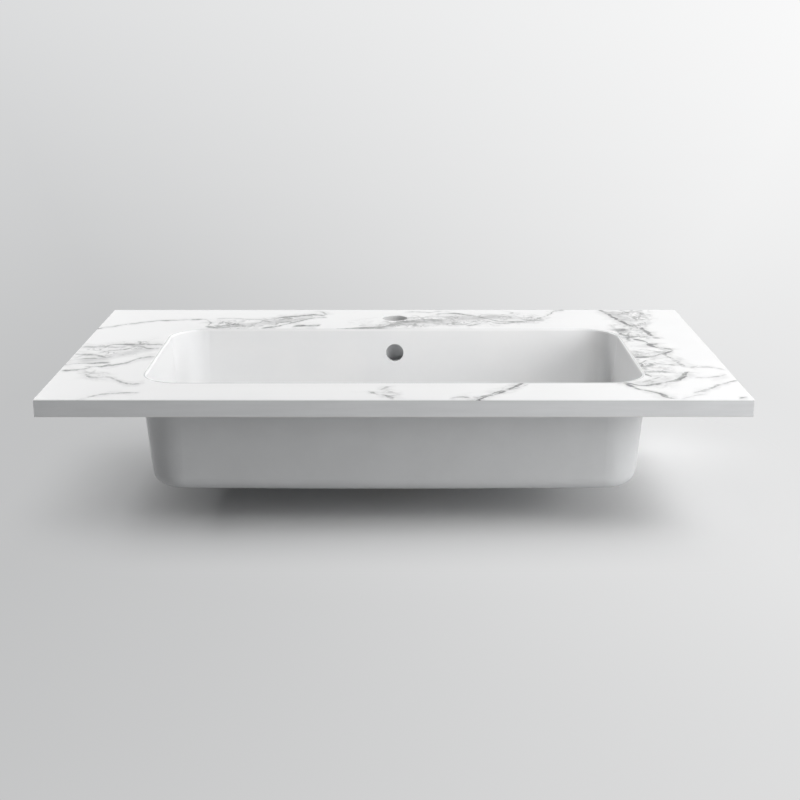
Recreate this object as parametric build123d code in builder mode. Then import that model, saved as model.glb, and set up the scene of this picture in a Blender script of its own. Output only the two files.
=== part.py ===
from build123d import *
import os
from math import cos, radians, sin, tan

# A vanity washbasin: a slab with a marble-look top and a white bowl hung in its opening.
# Millimetres. X runs along the wall, Y points to the wall and Z up. The origin is the middle
# of the slab's rear edge, on its underside: the wall is at y = 0, the front edge at -deck_depth.

# Deck: a board core between two thin sheets, with an edging strip on each side.
deck_width = 800.0
deck_depth = 480.0
facing_thickness = 1.0
core_thickness = 18.0
backing_thickness = 1.0
edging_thickness = 1.0

# Tap hole, through the deck behind the bowl.
tap_hole_radius = 17.5
tap_hole_to_wall = 55.0

# Bowl mouth, set by the widths of deck around it, and the rim that comes up through the deck.
front_deck = 75.0
rear_deck = 125.0
side_deck = 106.0
mouth_radius = 45.0
rim_wall = 3.0
rim_inner_rounding = 1.4
rim_outer_rounding = 0.6
sealant_width = 0.8
sealant_recess = 0.3

# Bowl shell under the deck.
wall_draft = 5.0
shell_step = 3.0
shell_drop = 114.0
shell_bottom_rounding = 18.0
cavity_bottom_rounding = 20.0
floor_thickness = 8.0
floor_fall = 2.2
flange_width = 15.0
flange_thickness = 6.0
adhesive_thickness = 1.5
adhesive_inset = 2.0

# Drain seat in the bowl's floor, set back towards the wall.
drain_setback = 45.0
drain_clearance = 2.05
recess_clearance = 1.0
recess_depth = 2.0

# Overflow hole in the back wall, and the channel that takes its water down to the drain.
overflow_radius = 11.5
overflow_rounding = 0.8
overflow_drop = 32.5
channel_margin = 1.5
channel_wall = 2.5
channel_standoff = 1.0
chamber_gap = 9.05
passage_height = 10.0
chamber_floor = 3.0
bond_gap = 0.3
head_clearance = 0.5

# Clips that clamp the bowl's flange to the deck, each with a screw in a threaded insert.
clip_thickness = 2.0
clip_width = 22.0
clip_lap = 10.0
clip_reach = 15.0
clip_bend_radius = 1.5
clip_screw_offset = 7.0
clip_to_mouth_side = 84.0
clip_margin = 5.0
insert_radius = 4.0
insert_length = 12.0
insert_flange_step = 0.8
insert_flange_thickness = 0.8
screw_radius = 2.4
screw_clearance = 0.1
screw_engagement = 9.0
screw_head_radius = 4.5
screw_head_height = 2.6
screw_socket_radius = 1.7
screw_socket_depth = 1.6
washer_radius = 5.5
washer_thickness = 0.8

# Waste: a flanged tube clamped through the drain, with overflow slots and a cross bar inside.
waste_tube_radius = 20.95
waste_tube_wall = 3.45
waste_flange_width = 11.05
waste_flange_thickness = 2.5
waste_flange_rounding = 1.0
seat_flare = 2.5
seat_depth = 5.0
waste_tail = 22.0
tail_chamfer = 0.8
runout_width = 1.5
runout_depth = 0.6
slot_count = 4
slot_width = 14.0
slot_margin = 1.5
bar_width = 3.0
bar_height = 3.5
bar_drop = 1.5
boss_wall = 2.4
gasket_inset = 1.0
gasket_clearance = 0.25
top_gasket_thickness = 1.5
base_gasket_thickness = 3.0
slip_washer_thickness = 1.5
nut_wall = 10.45
nut_height = 8.0
nut_notch_count = 6
nut_notch_width = 9.0
nut_notch_depth = 4.0
nut_clearance = 0.1

# Push latch in the middle of the waste: a barrel, its collar and its spring.
barrel_radius = 6.5
barrel_wall = 1.5
barrel_floor = 1.5
barrel_below_bar = 20.0
barrel_clearance = 0.1
shoulder_step = 1.5
shoulder_height = 2.0
collar_wall = 1.4
collar_height = 5.0
collar_top = 1.5
collar_to_socket = 1.3
spring_wire_radius = 0.45
spring_side_gap = 0.85
spring_seat_gap = 0.1
spring_turns = 9

# Plug: a crowned cap with a skirt and seal, on a stem whose piston slides in the barrel.
plug_travel = 9.0
closed_gap = 0.3
cap_inset = 3.0
cap_edge_height = 1.6
cap_crown = 2.4
cap_edge_rounding = 0.7
lip_clearance = 1.3
lip_step = 1.0
lip_thickness = 1.2
skirt_wall = 2.7
skirt_depth = 6.0
seal_height = 3.0
seal_top_gap = 1.6
seal_clearance = 0.4
stem_radius = 2.8
stem_clearance = 0.1
stem_socket_wall = 1.9
stem_socket_depth = 3.0
piston_clearance = 0.1
piston_height = 2.0
pin_radius = 2.0
pin_length = 10.0

# How far a cut runs past the face that it breaks through.
overrun = 1.0

# Deck and bowl: levels and sizes worked out from the values above.
core_bottom = backing_thickness
core_top = core_bottom + core_thickness
deck_top = core_top + facing_thickness
tap_y = -tap_hole_to_wall
mouth_width = deck_width - 2 * side_deck
mouth_depth = deck_depth - front_deck - rear_deck
mouth_y = -rear_deck - mouth_depth / 2
neck_width = mouth_width + 2 * rim_wall
neck_depth = mouth_depth + 2 * rim_wall
neck_radius = mouth_radius + rim_wall
cutout_width = neck_width + 2 * sealant_width
cutout_depth = neck_depth + 2 * sealant_width
cutout_radius = neck_radius + sealant_width
shell_width = neck_width + 2 * shell_step
shell_depth = neck_depth + 2 * shell_step
shell_radius = neck_radius + shell_step
shell_back_y = mouth_y + shell_depth / 2
shell_bottom = -shell_drop - floor_fall
floor_z = shell_bottom + floor_thickness
flange_top = core_bottom - adhesive_thickness
flange_bottom = flange_top - flange_thickness
flange_outer_width = shell_width + 2 * flange_width
flange_outer_depth = shell_depth + 2 * flange_width
flange_radius = shell_radius + flange_width
relief_margin = clip_reach + clip_margin
drain_y = mouth_y + drain_setback
drain_axis = Axis((0, drain_y, 0), (0, 0, 1))
recess_z = floor_z - recess_depth

# Overflow: where the channel runs.
overflow_z = deck_top - overflow_drop
channel_y = shell_back_y + channel_standoff
channel_radius = overflow_radius + channel_margin
channel_outer_radius = channel_radius + channel_wall
chamber_radius = waste_tube_radius + chamber_gap
chamber_outer_radius = chamber_radius + channel_wall
passage_bottom = shell_bottom - passage_height
chamber_bottom = passage_bottom - chamber_floor
leg_length = channel_y - drain_y
notch_width = 2 * (channel_outer_radius + head_clearance)
head_depth = channel_standoff + channel_outer_radius + head_clearance
head_top = overflow_z + channel_outer_radius + head_clearance

# Waste, latch and plug: radii, and levels from the recess down.
waste_bore_radius = waste_tube_radius - waste_tube_wall
seat_radius = waste_bore_radius + seat_flare
waste_flange_radius = waste_tube_radius + waste_flange_width
gasket_radius = waste_flange_radius - gasket_inset
ring_bore_radius = waste_tube_radius + gasket_clearance
waste_flange_bottom = recess_z + top_gasket_thickness
waste_flange_top = waste_flange_bottom + waste_flange_thickness
base_gasket_bottom = chamber_bottom - base_gasket_thickness
slip_washer_bottom = base_gasket_bottom - slip_washer_thickness
nut_bottom = slip_washer_bottom - nut_height
tail_bottom = nut_bottom - waste_tail
bar_top = passage_bottom - bar_drop
cap_bottom = waste_flange_top + closed_gap + plug_travel
cap_edge_top = cap_bottom + cap_edge_height
cap_top = cap_edge_top + cap_crown
skirt_bottom = cap_bottom - skirt_depth
socket_bottom = cap_bottom - stem_socket_depth
barrel_top = socket_bottom - plug_travel - collar_to_socket - collar_top
barrel_bottom = bar_top - barrel_below_bar
barrel_bore_radius = barrel_radius - barrel_wall
piston_top = barrel_top - closed_gap
piston_bottom = piston_top - piston_height


def mouth_outline(width, depth, radius):
    """A rounded rectangle over the middle of the bowl's mouth."""
    with BuildSketch() as outline:
        with Locations((0, mouth_y)):
            RectangleRounded(width, depth, radius)
    return outline.sketch


def cutout_outline():
    """The deck's opening for the bowl."""
    return mouth_outline(cutout_width, cutout_depth, cutout_radius)


def neck_outline():
    """The outside of the rim where it passes through the deck."""
    return mouth_outline(neck_width, neck_depth, neck_radius)


def drafted_form(width, depth, radius, top, bottom, rounding):
    """A bowl's form: walls that lean in, an arched floor, and a rounding where they meet."""
    reach = width / 2
    arch_ends = bottom + floor_fall
    cut_bottom = bottom - floor_fall - 2 * overrun
    with BuildPart() as form:
        with BuildSketch(Plane.XY.offset(top)):
            add(mouth_outline(width, depth, radius))
        extrude(amount=-(top - bottom + overrun), taper=wall_draft)
        with BuildSketch(Plane.XZ.offset(-mouth_y)):
            with BuildLine():
                ThreePointArc((-reach, arch_ends), (0, bottom), (reach, arch_ends))
                Polyline((reach, arch_ends), (reach, cut_bottom), (-reach, cut_bottom), (-reach, arch_ends))
            make_face()
        extrude(amount=depth, both=True, mode=Mode.SUBTRACT)
        fillet(form.faces().sort_by(Axis.Z)[0].edges(), radius=rounding)
    return form.part


def shell_form(growth):
    """The outside of the bowl's shell, grown by a gap on every side but the top."""
    return drafted_form(
        shell_width + 2 * growth,
        shell_depth + 2 * growth,
        shell_radius + growth,
        flange_top,
        shell_bottom - growth,
        shell_bottom_rounding + growth,
    )


def deck_layer(opening, trim=0):
    """A layer of the deck: its outline less a trim, an opening for the bowl and the tap hole."""
    with BuildSketch() as layer:
        with Locations((0, -deck_depth / 2)):
            Rectangle(deck_width - 2 * trim, deck_depth - 2 * trim)
        add(opening, mode=Mode.SUBTRACT)
        with Locations((0, tap_y)):
            Circle(tap_hole_radius, mode=Mode.SUBTRACT)
    return layer.sketch


def notch_outline(depth):
    """The gap left in the flange and its adhesive for the overflow's channel."""
    with BuildSketch() as notch:
        with Locations((0, shell_back_y - shell_step + depth / 2)):
            Rectangle(notch_width, depth)
    return notch.sketch


def drain_ring(outer_radius, inner_radius=ring_bore_radius):
    """A ring's outline round the drain's axis."""
    with BuildSketch() as outline:
        with Locations((0, drain_y)):
            Circle(outer_radius)
            Circle(inner_radius, mode=Mode.SUBTRACT)
    return outline.sketch


def turned_profile(points):
    """A closed outline of (radius, z) points, upright through the drain's axis."""
    with BuildSketch(Plane.XZ.offset(-drain_y)) as profile:
        with BuildLine():
            Polyline(*points, close=True)
        make_face()
    return profile.sketch


# Places of the bowl's clips. Each is drawn once with x pointing away from the bowl, y along the
# flange's edge and z = 0 on the flange's underside, and its screw stands at screw_at.
clip_x = mouth_width / 2 - clip_to_mouth_side
front_clips = [
    Location((x, mouth_y - flange_outer_depth / 2, flange_bottom), (0, 0, -90)) for x in (-clip_x, 0, clip_x)
]
rear_clips = [
    Location((x, mouth_y + flange_outer_depth / 2, flange_bottom), (0, 0, 90)) for x in (-clip_x, clip_x)
]
side_clips = [
    Location((flange_outer_width / 2, mouth_y, flange_bottom)),
    Location((-flange_outer_width / 2, mouth_y, flange_bottom), (0, 0, 180)),
]
clip_places = front_clips + rear_clips + side_clips
screw_at = (clip_screw_offset, 0)
insert_bottom = core_bottom - flange_bottom
head_level = -clip_thickness - washer_thickness

# Hole in the board for one threaded insert, which the insert fills.
with BuildPart() as insert_hole:
    with BuildSketch(Plane.XY.offset(insert_bottom)):
        with Locations(screw_at):
            Circle(insert_radius)
    extrude(amount=insert_length)
    with BuildSketch(Plane.XY.offset(insert_bottom)):
        with Locations(screw_at):
            Circle(insert_radius + insert_flange_step)
    extrude(amount=insert_flange_thickness)

# Deck core, with the bowl's opening, the tap hole, the inserts' holes and the overflow's pocket.
with BuildPart() as deck_core:
    with BuildSketch(Plane.XY.offset(core_bottom)):
        add(deck_layer(cutout_outline(), edging_thickness))
    extrude(amount=core_thickness)
    with BuildSketch(Plane.XY.offset(core_bottom)):
        add(notch_outline(shell_step + head_depth))
    extrude(amount=head_top - core_bottom, mode=Mode.SUBTRACT)
    with Locations(*clip_places):
        add(insert_hole.part, mode=Mode.SUBTRACT)

# Marble-look sheet on top of the core.
with BuildPart() as marble_facing:
    with BuildSketch(Plane.XY.offset(core_top)):
        add(deck_layer(cutout_outline()))
    extrude(amount=facing_thickness)

# Plain sheet under the core, cut back around the bowl's flange and its clips.
with BuildPart() as backing_sheet:
    relief = mouth_outline(
        flange_outer_width + 2 * relief_margin,
        flange_outer_depth + 2 * relief_margin,
        flange_radius + relief_margin,
    )
    with BuildSketch():
        add(deck_layer(relief))
    extrude(amount=backing_thickness)


def edging_strip(length, width, centre):
    """An edging strip as high as the core."""
    with BuildPart() as strip:
        with BuildSketch(Plane.XY.offset(core_bottom)):
            with Locations(centre):
                Rectangle(length, width)
        extrude(amount=core_thickness)
    return strip


side_length = deck_depth - 2 * edging_thickness
side_x = deck_width / 2 - edging_thickness / 2
front_edging = edging_strip(deck_width, edging_thickness, (0, -deck_depth + edging_thickness / 2))
rear_edging = edging_strip(deck_width, edging_thickness, (0, -edging_thickness / 2))
left_edging = edging_strip(edging_thickness, side_length, (-side_x, -deck_depth / 2))
right_edging = edging_strip(edging_thickness, side_length, (side_x, -deck_depth / 2))

# Bowl: one moulded shell with a rim, a flange, a drain seat and an overflow hole.
drain_hole_radius = waste_tube_radius + drain_clearance
recess_radius = waste_flange_radius + recess_clearance
overflow_y = shell_back_y - (flange_top - overflow_z) * tan(radians(wall_draft))
overflow_front = (0, mouth_y + mouth_depth / 2, overflow_z + overflow_radius)
wall_normal = (0, -cos(radians(wall_draft)), sin(radians(wall_draft)))
overflow_plane = Plane(origin=(0, overflow_y, overflow_z), x_dir=(1, 0, 0), z_dir=wall_normal)

with BuildPart() as bowl:
    add(shell_form(0))
    with BuildSketch(Plane.XY.offset(flange_top)):
        add(neck_outline())
    extrude(amount=deck_top - flange_top)
    with BuildSketch(Plane.XY.offset(flange_bottom)):
        add(mouth_outline(flange_outer_width, flange_outer_depth, flange_radius))
        add(notch_outline(shell_step + flange_width), mode=Mode.SUBTRACT)
    extrude(amount=flange_thickness)
    add(
        drafted_form(mouth_width, mouth_depth, mouth_radius, deck_top, floor_z, cavity_bottom_rounding),
        mode=Mode.SUBTRACT,
    )
    with BuildSketch(Plane.XY.offset(recess_z)):
        with Locations((0, drain_y)):
            Circle(recess_radius)
    extrude(amount=recess_depth + floor_fall, mode=Mode.SUBTRACT)
    with BuildSketch(Plane.XY.offset(shell_bottom - overrun)):
        with Locations((0, drain_y)):
            Circle(drain_hole_radius)
    extrude(amount=floor_thickness + 2 * overrun, mode=Mode.SUBTRACT)
    with BuildSketch(overflow_plane):
        Circle(overflow_radius)
    extrude(amount=2 * overflow_radius, both=True, mode=Mode.SUBTRACT)
    overflow_edge = bowl.edges().filter_by(GeomType.CIRCLE).sort_by_distance(overflow_front)[0]
    fillet(overflow_edge, radius=overflow_rounding)
    rim_top = bowl.faces().sort_by(Axis.Z)[-1]
    fillet(rim_top.inner_wires()[0].edges(), radius=rim_inner_rounding)
    rim_top = bowl.faces().sort_by(Axis.Z)[-1]
    fillet(rim_top.outer_wire().edges(), radius=rim_outer_rounding)

# Sealant between the rim and the deck, a little below the deck's top.
with BuildPart() as rim_sealant:
    with BuildSketch(Plane.XY.offset(core_bottom)):
        add(cutout_outline())
        add(neck_outline(), mode=Mode.SUBTRACT)
    extrude(amount=deck_top - sealant_recess - core_bottom)

# Adhesive bed between the flange and the deck.
with BuildPart() as flange_adhesive:
    bed_width = flange_outer_width - 2 * adhesive_inset
    bed_depth = flange_outer_depth - 2 * adhesive_inset
    with BuildSketch(Plane.XY.offset(flange_top)):
        add(mouth_outline(bed_width, bed_depth, flange_radius - adhesive_inset))
        add(neck_outline(), mode=Mode.SUBTRACT)
        add(notch_outline(shell_step + flange_width), mode=Mode.SUBTRACT)
    extrude(amount=adhesive_thickness)


def channel_form(radius, chamber, bottom):
    """The overflow's way down: a domed half-round duct, a leg under the floor and a round chamber."""
    with BuildPart() as form:
        with BuildSketch(Plane.XY.offset(bottom)):
            with Locations((0, channel_y)):
                Circle(radius)
            with Locations((0, channel_y - leg_length / 2)):
                Rectangle(2 * radius, leg_length)
            with Locations((0, drain_y)):
                Circle(chamber)
        extrude(amount=overflow_z - bottom)
        with BuildSketch(Plane.XZ.offset(-channel_y)):
            with Locations((0, overflow_z)):
                Circle(radius)
        extrude(amount=leg_length)
        with Locations((0, channel_y, overflow_z)):
            Sphere(radius)
    return form.part


# Overflow channel, bonded round its edges to the bowl's back wall and underside.
with BuildPart() as overflow_channel:
    add(channel_form(channel_outer_radius, chamber_outer_radius, chamber_bottom))
    add(channel_form(channel_radius, chamber_radius, passage_bottom), mode=Mode.SUBTRACT)
    add(shell_form(bond_gap), mode=Mode.SUBTRACT)
    with BuildSketch(Plane.XY.offset(flange_top)):
        add(mouth_outline(cutout_width + 2 * bond_gap, cutout_depth + 2 * bond_gap, cutout_radius + bond_gap))
    extrude(amount=deck_top - flange_top, mode=Mode.SUBTRACT)
    with BuildSketch(Plane.XY.offset(chamber_bottom)):
        with Locations((0, drain_y)):
            Circle(ring_bore_radius)
    extrude(amount=chamber_floor, mode=Mode.SUBTRACT)

# One bowl clip: a strip under the flange, bent up to the board.
with BuildPart() as one_clip:
    with BuildSketch(Plane.XZ) as clip_side:
        with BuildLine():
            Polyline(
                (-clip_lap, 0),
                (clip_reach - clip_thickness, 0),
                (clip_reach - clip_thickness, insert_bottom),
                (clip_reach, insert_bottom),
                (clip_reach, -clip_thickness),
                (-clip_lap, -clip_thickness),
                close=True,
            )
        make_face()
        outer_corner = clip_side.vertices().sort_by_distance((clip_reach, -clip_thickness))[0]
        fillet(outer_corner, radius=clip_bend_radius)
    extrude(amount=clip_width / 2, both=True)
    with BuildSketch(Plane.XY.offset(-clip_thickness)):
        with Locations(screw_at):
            Circle(screw_radius + screw_clearance)
    extrude(amount=clip_thickness, mode=Mode.SUBTRACT)

with BuildPart() as bowl_clips:
    with Locations(*clip_places):
        add(one_clip.part)

# One threaded insert, its thread drawn as a plain bore.
with BuildPart() as one_insert:
    add(insert_hole.part)
    with BuildSketch(Plane.XY.offset(insert_bottom)):
        with Locations(screw_at):
            Circle(screw_radius + screw_clearance)
    extrude(amount=insert_length, mode=Mode.SUBTRACT)

with BuildPart() as threaded_inserts:
    with Locations(*clip_places):
        add(one_insert.part)

# One washer, between the clip and the screw's head.
with BuildPart() as one_washer:
    with BuildSketch(Plane.XY.offset(head_level)):
        with Locations(screw_at):
            Circle(washer_radius)
            Circle(screw_radius + screw_clearance, mode=Mode.SUBTRACT)
    extrude(amount=washer_thickness)

with BuildPart() as clip_washers:
    with Locations(*clip_places):
        add(one_washer.part)

# One screw: a flat head with a hexagon socket, and a shank that ends in the insert.
with BuildPart() as one_screw:
    with BuildSketch(Plane.XY.offset(head_level)):
        with Locations(screw_at):
            Circle(screw_head_radius)
    extrude(amount=-screw_head_height)
    with BuildSketch(Plane.XY.offset(head_level)):
        with Locations(screw_at):
            Circle(screw_radius)
    extrude(amount=insert_bottom + screw_engagement - head_level)
    with BuildSketch(Plane.XY.offset(head_level - screw_head_height)):
        with Locations(screw_at):
            RegularPolygon(screw_socket_radius, side_count=6)
    extrude(amount=screw_socket_depth, mode=Mode.SUBTRACT)

with BuildPart() as clip_screws:
    with Locations(*clip_places):
        add(one_screw.part)

# Waste body: a flanged and seated tube with a runout groove above its tail, overflow slots level
# with the channel's passage, and a cross bar whose boss holds the latch.
slot_height = passage_height - 2 * slot_margin
slot_z = passage_bottom + passage_height / 2
with BuildPart() as waste_body:
    add(
        turned_profile(
            [
                (seat_radius, waste_flange_top),
                (waste_flange_radius, waste_flange_top),
                (waste_flange_radius, waste_flange_bottom),
                (waste_tube_radius, waste_flange_bottom),
                (waste_tube_radius, nut_bottom),
                (waste_tube_radius - runout_depth, nut_bottom),
                (waste_tube_radius - runout_depth, nut_bottom - runout_width),
                (waste_tube_radius, nut_bottom - runout_width),
                (waste_tube_radius, tail_bottom + tail_chamfer),
                (waste_tube_radius - tail_chamfer, tail_bottom),
                (waste_bore_radius, tail_bottom),
                (waste_bore_radius, waste_flange_top - seat_depth),
            ]
        )
    )
    revolve(axis=drain_axis)
    circles = waste_body.edges().filter_by(GeomType.CIRCLE)
    flange_edge = circles.sort_by(Axis.Z)[-2:].sort_by(SortBy.RADIUS)[-1]
    fillet(flange_edge, radius=waste_flange_rounding)
    with BuildSketch(Plane.XY.offset(bar_top - bar_height)):
        add(drain_ring(waste_tube_radius, waste_bore_radius))
        with Locations((0, drain_y)):
            Rectangle(2 * waste_bore_radius + bar_width, bar_width)
            Rectangle(bar_width, 2 * waste_bore_radius + bar_width)
            Circle(barrel_radius + barrel_clearance + boss_wall)
            Circle(barrel_radius + barrel_clearance, mode=Mode.SUBTRACT)
    extrude(amount=bar_height)
    with Locations((0, drain_y, slot_z)):
        with PolarLocations(waste_tube_radius, slot_count):
            Box(2 * waste_tube_wall + bar_width, slot_width, slot_height, mode=Mode.SUBTRACT)

# Gasket under the waste's flange, in the bowl's recess.
with BuildPart() as waste_top_gasket:
    with BuildSketch(Plane.XY.offset(recess_z)):
        add(drain_ring(gasket_radius))
    extrude(amount=top_gasket_thickness)

# Gasket under the channel's chamber.
with BuildPart() as waste_base_gasket:
    with BuildSketch(Plane.XY.offset(base_gasket_bottom)):
        add(drain_ring(gasket_radius))
    extrude(amount=base_gasket_thickness)

# Slip washer between the gasket and the backnut.
with BuildPart() as waste_slip_washer:
    with BuildSketch(Plane.XY.offset(slip_washer_bottom)):
        add(drain_ring(gasket_radius))
    extrude(amount=slip_washer_thickness)

# Backnut, with notches for a spanner.
nut_bore_radius = waste_tube_radius + nut_clearance
nut_radius = nut_bore_radius + nut_wall
with BuildPart() as waste_backnut:
    with BuildSketch(Plane.XY.offset(nut_bottom)):
        add(drain_ring(nut_radius, nut_bore_radius))
        with Locations((0, drain_y)):
            with PolarLocations(nut_radius, nut_notch_count):
                Rectangle(2 * nut_notch_depth, nut_notch_width, mode=Mode.SUBTRACT)
    extrude(amount=nut_height)

# Latch barrel: a cup that hangs through the cross bar's boss by its shoulder.
with BuildPart() as latch_barrel:
    add(
        turned_profile(
            [
                (0, barrel_bottom),
                (barrel_radius, barrel_bottom),
                (barrel_radius, bar_top),
                (barrel_radius + shoulder_step, bar_top),
                (barrel_radius + shoulder_step, bar_top + shoulder_height),
                (barrel_radius, bar_top + shoulder_height),
                (barrel_radius, barrel_top),
                (barrel_bore_radius, barrel_top),
                (barrel_bore_radius, barrel_bottom + barrel_floor),
                (0, barrel_bottom + barrel_floor),
            ]
        )
    )
    revolve(axis=drain_axis)

# Latch collar: a cap over the barrel's mouth that guides the stem.
guide_radius = stem_radius + stem_clearance
collar_bore_radius = barrel_radius + barrel_clearance
collar_radius = collar_bore_radius + collar_wall
collar_bottom = barrel_top + collar_top - collar_height
with BuildPart() as latch_collar:
    add(
        turned_profile(
            [
                (guide_radius, barrel_top),
                (collar_bore_radius, barrel_top),
                (collar_bore_radius, collar_bottom),
                (collar_radius, collar_bottom),
                (collar_radius, barrel_top + collar_top),
                (guide_radius, barrel_top + collar_top),
            ]
        )
    )
    revolve(axis=drain_axis)

# Latch spring, from the barrel's floor up to the piston, round the stem's pin.
spring_radius = barrel_bore_radius - spring_side_gap - spring_wire_radius
spring_start = barrel_bottom + barrel_floor + spring_seat_gap + spring_wire_radius
spring_end = piston_bottom - spring_seat_gap - spring_wire_radius
spring_pitch = (spring_end - spring_start) / spring_turns
with BuildPart() as latch_spring:
    with BuildLine(Plane.XY.offset(spring_start)) as coil:
        Helix(spring_pitch, spring_end - spring_start, spring_radius, center=(0, drain_y, 0))
    with BuildSketch(Plane(origin=coil.line @ 0, z_dir=coil.line % 0)):
        Circle(spring_wire_radius)
    sweep(path=coil.line, is_frenet=True)

# Plug cap: a crowned disc with a lipped skirt for the seal and a socket for the stem.
cap_radius = waste_flange_radius - cap_inset
lip_radius = waste_bore_radius - lip_clearance
skirt_radius = lip_radius - lip_step
skirt_bore_radius = skirt_radius - skirt_wall
socket_radius = stem_radius + stem_socket_wall
with BuildPart() as plug_cap:
    with BuildSketch(Plane.XZ.offset(-drain_y)) as cap_profile:
        with BuildLine():
            TangentArc((0, cap_top), (cap_radius, cap_edge_top), tangent=(1, 0))
            Polyline(
                (cap_radius, cap_edge_top),
                (cap_radius, cap_bottom),
                (skirt_radius, cap_bottom),
                (skirt_radius, skirt_bottom + lip_thickness),
                (lip_radius, skirt_bottom + lip_thickness),
                (lip_radius, skirt_bottom),
                (skirt_bore_radius, skirt_bottom),
                (skirt_bore_radius, cap_bottom),
                (socket_radius, cap_bottom),
                (socket_radius, socket_bottom),
                (stem_radius, socket_bottom),
                (stem_radius, cap_bottom),
                (0, cap_bottom),
                (0, cap_top),
            )
        make_face()
        edge_corner = cap_profile.vertices().sort_by_distance((cap_radius, cap_edge_top))[0]
        fillet(edge_corner, radius=cap_edge_rounding)
    revolve(axis=drain_axis)

# Plug seal, on the skirt: its edge is parallel to the waste's seat, a clearance inside it when shut.
seat_slope = seat_flare / seat_depth
seal_top = cap_bottom - seal_top_gap
seal_bottom = seal_top - seal_height
shut_depth = waste_flange_top + plug_travel - seal_top
seal_top_radius = seat_radius - seat_slope * shut_depth - seal_clearance
seal_bottom_radius = seal_top_radius - seat_slope * seal_height
with BuildPart() as plug_seal:
    add(
        turned_profile(
            [
                (skirt_radius, seal_bottom),
                (seal_bottom_radius, seal_bottom),
                (seal_top_radius, seal_top),
                (skirt_radius, seal_top),
            ]
        )
    )
    revolve(axis=drain_axis)

# Plug stem: a rod with a piston that stops under the collar, and a pin inside the spring.
with BuildPart() as plug_stem:
    add(
        turned_profile(
            [
                (0, cap_bottom),
                (stem_radius, cap_bottom),
                (stem_radius, piston_top),
                (barrel_bore_radius - piston_clearance, piston_top),
                (barrel_bore_radius - piston_clearance, piston_bottom),
                (pin_radius, piston_bottom),
                (pin_radius, piston_bottom - pin_length),
                (0, piston_bottom - pin_length),
            ]
        )
    )
    revolve(axis=drain_axis)

sub_parts = {
    "deck_core": deck_core,
    "marble_facing": marble_facing,
    "backing_sheet": backing_sheet,
    "front_edging": front_edging,
    "rear_edging": rear_edging,
    "left_edging": left_edging,
    "right_edging": right_edging,
    "bowl": bowl,
    "rim_sealant": rim_sealant,
    "flange_adhesive": flange_adhesive,
    "overflow_channel": overflow_channel,
    "bowl_clips": bowl_clips,
    "threaded_inserts": threaded_inserts,
    "clip_washers": clip_washers,
    "clip_screws": clip_screws,
    "waste_body": waste_body,
    "waste_top_gasket": waste_top_gasket,
    "waste_base_gasket": waste_base_gasket,
    "waste_slip_washer": waste_slip_washer,
    "waste_backnut": waste_backnut,
    "latch_barrel": latch_barrel,
    "latch_collar": latch_collar,
    "latch_spring": latch_spring,
    "plug_cap": plug_cap,
    "plug_seal": plug_seal,
    "plug_stem": plug_stem,
}

os.makedirs("parts", exist_ok=True)
for label, sub_part in sub_parts.items():
    sub_part.part.label = label
    export_step(sub_part.part, f"parts/{label}.step")
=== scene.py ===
import math

import bmesh
import bpy
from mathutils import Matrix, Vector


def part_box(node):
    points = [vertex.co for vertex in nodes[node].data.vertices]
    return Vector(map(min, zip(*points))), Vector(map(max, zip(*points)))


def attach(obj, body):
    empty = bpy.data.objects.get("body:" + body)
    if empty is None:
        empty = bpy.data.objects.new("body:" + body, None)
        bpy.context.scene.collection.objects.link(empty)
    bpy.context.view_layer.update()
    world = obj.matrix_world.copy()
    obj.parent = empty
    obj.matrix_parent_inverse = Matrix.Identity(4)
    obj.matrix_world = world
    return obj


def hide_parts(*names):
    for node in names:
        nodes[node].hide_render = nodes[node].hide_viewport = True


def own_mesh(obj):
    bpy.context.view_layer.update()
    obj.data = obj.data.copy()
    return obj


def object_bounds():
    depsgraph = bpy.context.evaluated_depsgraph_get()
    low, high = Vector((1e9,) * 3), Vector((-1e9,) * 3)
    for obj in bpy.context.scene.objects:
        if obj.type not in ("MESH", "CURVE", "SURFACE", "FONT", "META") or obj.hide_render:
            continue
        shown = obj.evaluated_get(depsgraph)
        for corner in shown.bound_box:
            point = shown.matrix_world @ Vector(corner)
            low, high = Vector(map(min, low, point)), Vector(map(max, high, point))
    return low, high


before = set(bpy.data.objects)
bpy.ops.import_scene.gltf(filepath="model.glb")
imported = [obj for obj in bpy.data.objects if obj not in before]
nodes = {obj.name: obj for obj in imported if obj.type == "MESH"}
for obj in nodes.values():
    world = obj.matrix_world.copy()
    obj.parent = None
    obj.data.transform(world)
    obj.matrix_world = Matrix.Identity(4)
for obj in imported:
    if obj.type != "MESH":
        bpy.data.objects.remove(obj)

MM = 0.001
FULL_TURN = 2 * math.pi
USUAL = (0.3, 0.7)  # Nearly all values of a noise lie between these two.

cad_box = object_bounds()
floor_z = cad_box[0].z


def middle_of(box):
    """The middle of a box, seen from above."""
    low, high = box
    return 0.5 * (low.x + high.x), 0.5 * (low.y + high.y)


# Upright axes that looks are centred on. The bowl's and the drain's are read from the CAD nodes.
bowl_x, bowl_y = middle_of(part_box("bowl"))
drain_x, drain_y = middle_of(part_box("waste_body"))
tap_x, tap_y = 0.0, -55 * MM


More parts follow.
